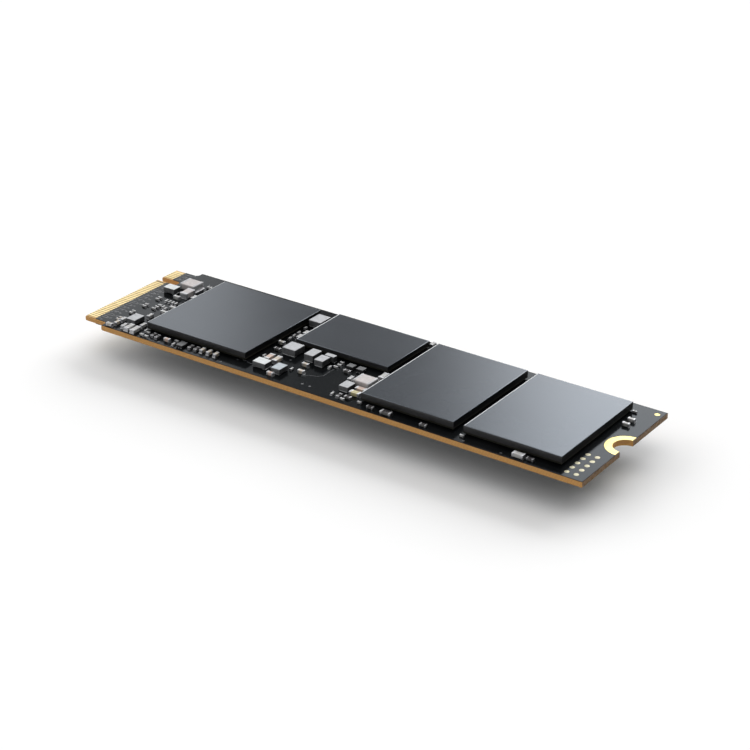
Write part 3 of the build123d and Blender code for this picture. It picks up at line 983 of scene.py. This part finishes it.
@dataclass
class CoveredCopper:
    """The traces and vias of one face, which show as low ridges and rings under the solder mask.

    Places are in millimetres, from the connector end and from the middle line of the card.
    """

    card: Card
    face: str
    contacts: tuple[str, ...]
    routes: tuple[tuple[Place, ...], ...]
    vias: tuple[Place, ...]
    via_fields: tuple[tuple[float, float, float, float], ...] = ()
    width: float = 0.12 * MM
    rise: float = 0.012 * MM
    overlap: float = 0.8
    via_radius: float = 0.17 * MM
    via_pitch: float = 1.0
    fan_start: float = 0.1
    fan_lean: float = 0.25
    fan_lengths: tuple[float, ...] = (0.75, 1.55, 1.05, 1.85, 1.3)

    def build(self) -> None:
        """Models the copper of the face as one piece."""
        bm = bmesh.new()
        vias = list(self.vias)
        for route in self.routes + self._fans():
            for start, end in zip(route, route[1:]):
                self._add_run(bm, self._at(*start), self._at(*end))
            vias.append(route[-1])
        for low_x, high_x, low_y, high_y in self.via_fields:
            columns = int((high_x - low_x) / self.via_pitch) + 1
            rows = int((high_y - low_y) / self.via_pitch) + 1
            vias += [
                (low_x + i * self.via_pitch, low_y + j * self.via_pitch)
                for i in range(columns) for j in range(rows)
            ]
        self._add_vias(bm, vias)
        self.card.add(bm, f"{self.face}_covered_copper", ["copper_under_mask"], "solder_mask")

    def sink_mask(self) -> None:
        """Models the face's mask a little thinner, so that the copper under it stands out in the box."""
        node = f"{self.face}_solder_mask"
        bm = bmesh.new()
        bm.from_mesh(self.card.nodes[node].data)
        bmesh.ops.remove_doubles(bm, verts=bm.verts, dist=WELD)
        outer = [v for v in bm.verts if abs(v.co.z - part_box(node)[0].z) < LEVEL]
        bmesh.ops.translate(bm, verts=outer, vec=(0, 0, self.rise))
        self.card.add(bm, f"{self.face}_mask_coat", ["black_solder_mask"], "solder_mask", [node])

    def _at(self, along_card: float, across: float) -> Vector:
        """Returns a place on the face's mask, in metres."""
        low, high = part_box(f"{self.face}_solder_mask")
        height = high.z if self.face == "top" else low.z + self.rise
        return Vector((self.card.start + along_card * MM, across * MM, height))

    def _fans(self) -> tuple[tuple[Place, ...], ...]:
        """Returns a short route from each contact, straight and then aslant to a via."""
        found = []
        rows = [solid for node in self.contacts for solid in self.card.solids(node)]
        for number, solid in enumerate(rows):
            start = (solid.high.x - self.card.start) / MM + self.fan_start
            across = solid.middle.y / MM
            reach = start + self.fan_lengths[number % len(self.fan_lengths)]
            lean = self.fan_lean if number % 2 else -self.fan_lean
            found.append(((start, across), (reach - self.fan_lean, across), (reach, across + lean)))
        return tuple(found)

    def _add_run(self, bm: BMesh, start: Vector, end: Vector) -> None:
        """Adds one straight run of a trace, with sides that lean in as etched copper's do.

        Args:
            bm: The mesh to add to.
            start: Where it starts on the mask.
            end: Where it ends.
        """
        way = end - start
        length = way.length + self.overlap * self.width
        size = Matrix.Diagonal((length, self.width, 2 * self.rise, 1.0))
        verts = bmesh.ops.create_cube(bm, size=1.0, matrix=size)["verts"]
        crest = [v for v in verts if (v.co.z > 0) == (self.face == "top")]
        taper = (1 - 2 * self.rise / length, 1 - 2 * self.rise / self.width, 1.0)
        bmesh.ops.scale(bm, verts=crest, vec=taper)
        turn = Matrix.Rotation(math.atan2(way.y, way.x), 4, "Z")
        bmesh.ops.transform(bm, verts=verts, matrix=Matrix.Translation((start + end) / 2) @ turn)

    def _add_vias(self, bm: BMesh, places: Sequence[Place]) -> None:
        """Adds the vias: low rings with a dimple where the mask sinks into the hole.

        Args:
            bm: The mesh to add to.
            places: Where they are.
        """
        one = bmesh.new()
        rim = bmesh.ops.create_circle(one, cap_ends=True, radius=self.via_radius, segments=12)
        up = 1.0 if self.face == "top" else -1.0
        face = rim["verts"][0].link_faces[0]
        for inset, lift in ((0.2, 1.0), (0.25, 0.0), (0.2, -0.9)):
            bmesh.ops.inset_individual(one, faces=[face], thickness=inset * self.via_radius, depth=0.0)
            bmesh.ops.translate(one, verts=list(face.verts), vec=(0, 0, up * lift * self.rise))
        if self.face != "top":
            bmesh.ops.reverse_faces(one, faces=one.faces)
        add_copies(bm, one, [self._at(*place) for place in places])


@dataclass
class BallGridPackage:
    """A package on solder balls: full ball grid, substrate, and a moulded cap with sawn sides, painted shade
    on its end faces and a painted highlight on its connector-side top edge.
    """

    card: Card
    name: str
    painted_highlight_width: float
    edge_break: float = 0.04 * MM
    squash: float = 0.62

    def build(self) -> None:
        """Models the balls and the cap, and dresses the substrate."""
        self._balls()
        self.card.dress("substrate_edge", f"{self.name}_substrate")
        bm = bmesh.new()
        node = f"{self.name}_mould_cap"
        solid = Solid(*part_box(node))
        add_block(
            bm, solid, self.edge_break, 3, material=1, top_material=0, end_material=2, top_only=True,
            margin=self.painted_highlight_width,
        )
        # The top faces next to the connector-side edge take the pale finish: a painted highlight.
        for face in bm.faces:
            face.normal_update()
            reach = face.calc_center_median().x - solid.low.x
            if face.normal.z > UPWARD and reach < self.edge_break + self.painted_highlight_width:
                face.material_index = 3
        # The end faces take the near black finish, which is painted shade.
        skins = ["mould_top", "mould_sawn_side", "mould_cross_cut", "mould_pale_edge"]
        self.card.add(bm, f"{self.name}_moulding", skins, "mould_compound", [node])

    def _balls(self) -> None:
        """Models every ball of the grid that the outer ring spans."""
        node = f"{self.name}_solder_balls"
        ring = self.card.solids(node)
        columns = sorted({round(s.middle.x, 6) for s in ring})
        rows = sorted({round(s.middle.y, 6) for s in ring})
        radius = max(s.size.x for s in ring) / 2
        low, high = ring[0].low.z, ring[0].high.z
        squeeze = Matrix.Diagonal((1, 1, self.squash * (high - low) / radius, 1))
        ball = bmesh.new()
        bmesh.ops.create_uvsphere(ball, u_segments=10, v_segments=6, radius=radius, matrix=squeeze)
        bm = bmesh.new()
        add_copies(bm, ball, [Vector((x, y, (low + high) / 2)) for x in columns for y in rows])
        self.card.add(bm, f"{self.name}_balls", ["solder"], "solder", [node], crease=80.0)


@dataclass
class Inductors:
    """The moulded inductors: pressed powder blocks on short metal terminals, their sides darker than their
    tops and their end faces darker still, as painted shade.
    """

    card: Card
    tones: dict[str, Powder]
    rounding: float = 0.05 * MM

    def build(self) -> None:
        """Models the blocks, and their terminals."""
        for name, tone in self.tones.items():
            bm = bmesh.new()
            add_block(
                bm, Solid(*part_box(name)), self.rounding, 2, material=1, top_material=0, end_material=2
            )
            # The sides and the end faces take darker copies of the top's powder: painted shade.
            skins = [tone.finish, "pressed_powder", "pressed_powder_end"]
            self.card.add(bm, f"{name}_block", skins, "inductor_body", [name], crease=50.0)
        self.card.add_terminals("inductor_terminals", 0.015 * MM)


@dataclass
class ChipGroup:
    """A group of chip capacitors: ceramic blocks, plated cups on their ends, and solder fillets."""

    card: Card
    name: str
    tones: Sequence[tuple[Ceramic, float, float]] = ()
    small: float = 0.7 * MM
    reach: float = 0.15
    climb: float = 0.4
    ceramic_rounding: float = 0.06
    cup_rounding: float = 0.10

    def build(self) -> None:
        """Models the group's three pieces."""
        bodies, ends = f"{self.name}_bodies", f"{self.name}_ends"
        chips = find_chips(self.card.solids(bodies), self.card.solids(ends))
        tones = self._tones(chips)
        kinds = sorted(set(tones), key=lambda tone: tone.name)
        ceramic, metal, solder = bmesh.new(), bmesh.new(), bmesh.new()
        for chip, tone in zip(chips, tones):
            add_block(ceramic, chip.core, self.ceramic_rounding * chip.width, 1, material=kinds.index(tone))
            self.add_ends(metal, solder, chip)
        skins = [tone.finish for tone in kinds]
        self.card.add(ceramic, f"{self.name}_ceramic", skins, "capacitor_ceramic", [bodies])
        self.card.add(metal, f"{self.name}_cups", ["tin_plated_end"], "terminal_metal", [ends])
        self.card.add(solder, f"{self.name}_solder", ["solder"], "solder", crease=60.0)

    def add_ends(self, metal: BMesh, solder: BMesh, chip: Chip) -> None:
        """Models a chip's two plated ends and the solder in front of them.

        Args:
            metal: The mesh of the ends.
            solder: The mesh of the solder.
            chip: The chip.
        """
        for side, end in zip((-1, 1), chip.ends):
            add_block(metal, end, self.cup_rounding * min(chip.width, end.size.z), 2)
            outwards = chip.along * side
            foot = end.middle + outwards * (chip.length(end) / 2)
            foot.z = end.low.z
            height = end.size.z
            add_fillet(solder, foot, outwards, chip.width, self.reach * height, self.climb * height)

    def _tones(self, chips: list[Chip]) -> list[Ceramic]:
        """Chooses each chip's ceramic: the stated one nearest to it, or the usual one for its size.

        Args:
            chips: The group's chips.

        Returns:
            A tone for each chip.
        """
        found = [Ceramic.DARK if chip.box.size.length < self.small else Ceramic.PALE for chip in chips]
        for tone, along_card, across in self.tones:
            place = Vector((along_card * MM + self.card.start, across * MM, 0))
            distances = [(chip.box.middle.xy - place.xy).length for chip in chips]
            found[distances.index(min(distances))] = tone
        return found


@dataclass
class Resistors:
    """The chip resistors: dark ceramic, dark glaze on top, and plated ends and solder fillets darker than
    the capacitors', as painted shade.
    """

    card: Card

    def build(self) -> None:
        """Models the four pieces."""
        chips = find_chips(self.card.solids("resistor_bodies"), self.card.solids("resistor_ends"))
        ceramic, glaze, metal, solder = bmesh.new(), bmesh.new(), bmesh.new(), bmesh.new()
        worker = ChipGroup(self.card, "resistor")
        for chip in chips:
            add_block(ceramic, chip.core, 0.02 * MM, 1)
            worker.add_ends(metal, solder, chip)
        for solid in self.card.solids("resistor_films"):
            add_block(glaze, solid, 0.3 * solid.size.z, 1)
        add = self.card.add
        add(ceramic, "resistor_ceramic", ["dark_alumina"], "resistor_ceramic", ["resistor_bodies"])
        add(glaze, "resistor_glaze", ["resistor_glaze"], "resistor_film", ["resistor_films"])
        # The resistors' ends and solder take the darker copies: painted shade.
        add(metal, "resistor_cups", ["dull_resistor_end"], "terminal_metal", ["resistor_ends"])
        add(solder, "resistor_solder", ["dull_solder"], "solder", crease=60.0)


@dataclass
class BulkCapacitors:
    """The two large ceramic capacitors, with plated cups over their ends."""

    card: Card
    rounding: float = 0.12 * MM
    reach: float = 0.18 * MM
    climb: float = 0.3

    def build(self) -> None:
        """Models the ceramic blocks, the cups and the solder."""
        bodies = []
        for node in ("bulk_capacitor_1", "bulk_capacitor_2"):
            bodies.append(Solid(*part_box(node)))
            bm = bmesh.new()
            add_block(bm, bodies[-1], self.rounding, 3)
            self.card.add(bm, f"{node}_ceramic", [Ceramic.PINK.finish], "capacitor_ceramic", [node])
        metal, solder = bmesh.new(), bmesh.new()
        for cup in self.card.solids("bulk_capacitor_ends"):
            add_block(metal, cup, self.rounding, 3)
            body = min(bodies, key=lambda b: (b.middle - cup.middle).length)
            outwards = Vector((math.copysign(1.0, cup.middle.x - body.middle.x), 0, 0))
            foot = cup.middle + outwards * (cup.size.x / 2)
            foot.z = cup.low.z
            add_fillet(solder, foot, outwards, cup.size.y, self.reach, self.climb * cup.size.z)
        self.card.add(
            metal, "bulk_capacitor_cups", ["pale_fired_cup"], "terminal_metal", ["bulk_capacitor_ends"]
        )
        self.card.add(solder, "bulk_capacitor_solder", ["solder"], "solder", crease=60.0)


@dataclass
class Regulators:
    """The small regulators in leadless packages, and their leads."""

    card: Card

    def build(self) -> None:
        """Models the bodies and the leads."""
        bm = bmesh.new()
        for solid in self.card.solids("regulator_bodies"):
            add_block(bm, solid, 0.03 * MM, 2, material=1, top_material=0)
        skins = ["regulator_top", "mould_sawn_side"]
        self.card.add(bm, "regulator_mouldings", skins, "mould_compound", ["regulator_bodies"])
        self.card.add_terminals("regulator_leads", 0.01 * MM)


@dataclass(frozen=True)
class Softbox:
    """A softbox far from the card: the window of sky that it fills, in degrees, and its brightness."""

    azimuth: tuple[float, float]
    elevation: tuple[float, float]
    radiance: float
    edge: float = 1.5

    def add(self, recipe: Recipe, azimuth: NodeSocket, elevation: NodeSocket) -> NodeSocket:
        """Draws the softbox on the sky.

        Args:
            recipe: The world's tree.
            azimuth: The looked-at azimuth in degrees.
            elevation: The looked-at elevation in degrees.

        Returns:
            Its radiance there.
        """
        share = None
        for angle, (low, high) in ((azimuth, self.azimuth), (elevation, self.elevation)):
            for sign, limit in ((1, low), (-1, high)):
                inside = recipe.math("MULTIPLY", recipe.math("SUBTRACT", angle, limit), sign / self.edge)
                inside = recipe.math("ADD", inside, 0.5, clamp=True)
                share = inside if share is None else recipe.math("MULTIPLY", share, inside)
        return recipe.math("MULTIPLY", share, self.radiance)


@dataclass
class Studio:
    """The white floor, the soft light around the card, and the camera at the photograph's angle.

    Azimuths are measured from the axis that the sky is turned to, so that no softbox crosses the seam.
    """

    hover: float = 4.2 * MM
    floor_half: float = 3.0
    sky_turn: float = 150.0
    key: Softbox = Softbox((-88.0, -29.7), (12.0, 44.0), 4.6, 5.0)
    fill: Softbox = Softbox((-21.2, 96.0), (12.0, 44.0), 1.52)
    overhead: float = 0.65
    overhead_from: float = 0.70
    wall: float = 0.38
    wall_dark: float = 0.03
    wall_reach: float = 0.98
    dark_side: Vector = field(default_factory=lambda: Vector((0.863, -0.504, -0.03)))
    target: Vector = field(default_factory=lambda: Vector((2.698, -0.413, 0)) * MM)
    azimuth: float = 34.6123
    elevation: float = 26.2747
    roll: float = 0.4614
    distance: float = 263.03 * MM
    lens: float = 95.48
    sensor: float = 36.0

    def build(self) -> None:
        """Makes the world, the floor and the camera."""
        bpy.context.scene.view_settings.view_transform = "Standard"
        self._world()
        self._floor()
        self._camera()

    def _world(self) -> None:
        """Makes the sky: pale walls that darken to one side, a bright ceiling and two softboxes."""
        world = bpy.data.worlds.new("studio_light")
        bpy.context.scene.world = world
        world.use_nodes = True
        recipe = Recipe(world.node_tree)
        direction = recipe.node("ShaderNodeTexCoord").outputs["Generated"]
        height = recipe.node("ShaderNodeSeparateXYZ", Vector=direction).outputs["Z"]
        turn = (0, 0, -math.radians(self.sky_turn))
        turned = recipe.node("ShaderNodeMapping", Rotation=turn, Vector=direction).outputs[0]
        flat = recipe.node("ShaderNodeSeparateXYZ", Vector=turned).outputs
        azimuth = recipe.math("DEGREES", recipe.math("ARCTAN2", flat["Y"], flat["X"]))
        elevation = recipe.math("DEGREES", recipe.math("ARCSINE", height))
        facing = recipe.tree.nodes.new("ShaderNodeVectorMath")
        facing.operation = "DOT_PRODUCT"
        recipe.link(direction, facing.inputs[0])
        facing.inputs[1].default_value = self.dark_side
        wall = recipe.span(
            facing.outputs["Value"], 0.0, self.wall_reach, self.wall, self.wall_dark, smooth=True
        )
        ceiling = recipe.span(height, self.overhead_from, 1.0, 0.0, self.overhead, smooth=True)
        total = recipe.math("ADD", wall, ceiling)
        for box in (self.key, self.fill):
            total = recipe.math("ADD", total, box.add(recipe, azimuth, elevation))
        background = world.node_tree.nodes["Background"]
        background.inputs["Color"].default_value = (1.0, 1.0, 1.0, 1.0)
        recipe.link(total, background.inputs["Strength"])

    def _floor(self) -> None:
        """Makes the pale floor below the card, which shows pure white where nothing shades it."""
        bm = bmesh.new()
        place = Matrix.Translation((0, 0, -self.hover))
        bmesh.ops.create_grid(bm, x_segments=1, y_segments=1, size=self.floor_half, matrix=place)
        floor = make_object(bm, "floor")
        material = bpy.data.materials.new("white_floor")
        material.use_nodes = True
        recipe = Recipe(material.node_tree)
        surface = recipe.tree.nodes["Principled BSDF"]
        surface.inputs["Roughness"].default_value = 1.0
        surface.inputs["Specular IOR Level"].default_value = 0.0
        path = recipe.node("ShaderNodeLightPath")
        seen = recipe.math("MAXIMUM", path.outputs["Is Camera Ray"], path.outputs["Is Glossy Ray"])
        seen = recipe.math("MAXIMUM", seen, path.outputs["Is Transmission Ray"])
        recipe.link(recipe.blend(seen, (0.8, 0.8, 0.8), (1.0, 1.0, 1.0)), surface.inputs["Base Color"])
        floor.data.materials.append(material)

    def _camera(self) -> None:
        """Makes the camera."""
        turn, rise = math.radians(self.azimuth), math.radians(self.elevation)
        back = Vector((math.sin(turn) * math.cos(rise), -math.cos(turn) * math.cos(rise), math.sin(rise)))
        right = Vector((0, 0, 1)).cross(back).normalized()
        up = back.cross(right)
        lean = math.radians(self.roll)
        leaning_right = right * math.cos(lean) + up * math.sin(lean)
        leaning_up = up * math.cos(lean) - right * math.sin(lean)
        data = bpy.data.cameras.new("camera")
        data.sensor_width = self.sensor
        data.lens = self.lens
        data.clip_start = 0.01
        data.clip_end = 20.0
        camera = bpy.data.objects.new("camera", data)
        bpy.context.scene.collection.objects.link(camera)
        turned = Matrix((leaning_right, leaning_up, back)).transposed().to_4x4()
        camera.matrix_world = Matrix.Translation(self.target + back * self.distance) @ turned
        bpy.context.scene.camera = camera


# The packages, and how wide the painted highlight is, a pale line along the top edge on their connector side
PACKAGES = {"controller": 0.05 * MM, "memory": 0.10 * MM, "flash_1": 0.10 * MM, "flash_2": 0.10 * MM}
INDUCTORS = {
    "memory_inductor": Powder.GREY,
    "core_inductor": Powder.GREY,
    "flash_inductor_1": Powder.GREY,
    "flash_inductor_2": Powder.GREY,
    "flash_inductor_3": Powder.GREY,
    "output_inductor_1": Powder.LIGHT,
    "output_inductor_2": Powder.BLUE,
    "output_inductor_3": Powder.GREY,
    "entry_inductor_1": Powder.GREY,
    "entry_inductor_2": Powder.LIGHT,
}

# Capacitors of another colour than the usual one: colour, place from the connector end and across
TONES: dict[str, tuple[tuple[Ceramic, float, float], ...]] = {
    "lane_capacitor": ((Ceramic.CREAM, 4.85, -7.8), (Ceramic.CREAM, 4.85, -8.4)),
    "entry_capacitor": (
        (Ceramic.PINK, 7.4, 3.55), (Ceramic.CREAM, 5.65, -9.5), (Ceramic.SAND, 5.15, -10.5),
    ),
    "edge_capacitor": (
        (Ceramic.PEACH, 14.85, -9.75), (Ceramic.CREAM, 20.85, -9.5), (Ceramic.CREAM, 22.0, -9.5),
        (Ceramic.CREAM, 23.15, -9.5),
    ),
    "power_capacitor": (
        (Ceramic.PEACH, 29.5, -6.05), (Ceramic.CREAM, 30.75, -6.05), (Ceramic.SAND, 28.0, -1.4),
        (Ceramic.CREAM, 34.7, -5.0), (Ceramic.CREAM, 35.45, -7.0), (Ceramic.PEACH, 32.5, -9.8),
        (Ceramic.PEACH, 44.95, -6.8), (Ceramic.YELLOW, 44.95, -8.1),
    ),
    "flash_capacitor": (),
}


# Traces that show on the face with the parts
TOP_ROUTES = (
    ((38.3, -3.4), (38.2, -4.3), (38.25, -5.9), (37.7, -6.55), (36.6, -6.85), (36.0, -7.5)),
    ((26.7, -8.25), (27.5, -8.25), (27.75, -8.5), (28.8, -8.5)),
)
TOP_VIAS = (
    (26.1, -8.6), (29.9, -4.6), (31.9, -4.6), (12.0, -10.6), (13.9, -10.5), (24.6, -10.4), (38.6, -9.4),
    (37.4, -9.4), (62.9, -10.4), (68.3, -10.4),
)

# Traces of the other face: long lanes along the card, and the vias below the packages
UNDERSIDE_ROUTES = tuple(
    (
        (3.6 + 0.3 * lane, -6.5 + 0.6 * lane),
        (5.5 + 0.5 * lane, -6.5 + 0.6 * lane),
        (6.9 + 0.5 * lane, -7.9 + 0.6 * lane),
        (41.0 - 0.5 * lane, -7.9 + 0.6 * lane),
        (43.0 - 0.5 * lane, -9.9 + 0.6 * lane),
        (61.0 + 1.5 * lane, -9.9 + 0.6 * lane),
    )
    for lane in range(5)
)
UNDERSIDE_FIELDS = (
    (12.7, 24.7, -4.4, 6.6), (32.3, 42.3, 1.5, 8.0), (48.5, 58.5, -5.5, 8.0), (64.0, 74.0, -5.5, 8.0),
)


def corners(box: tuple[Vector, Vector]) -> list[list[float]]:
    """Returns a box as plain lists of numbers.

    Args:
        box: Its lowest and highest corner.
    """
    return [list(corner) for corner in box]


def main() -> None:
    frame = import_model()
    card = Card(frame)
    Board(card).build()
    top_contacts = ("top_contacts", "top_key_contacts")
    CoveredCopper(card, "top", top_contacts, TOP_ROUTES, TOP_VIAS).build()
    under_contacts = ("bottom_contacts", "bottom_key_contacts")
    underside = CoveredCopper(card, "bottom", under_contacts, UNDERSIDE_ROUTES, (), UNDERSIDE_FIELDS)
    underside.build()
    underside.sink_mask()
    for name, painted_highlight_width in PACKAGES.items():
        BallGridPackage(card, name, painted_highlight_width).build()
    Inductors(card, INDUCTORS).build()
    BulkCapacitors(card).build()
    Regulators(card).build()
    for name, tones in TONES.items():
        ChipGroup(card, name, tones).build()
    Resistors(card).build()
    Studio().build()


if __name__ == "__main__":
    logging.basicConfig(level=logging.INFO, format="%(message)s")
    main()
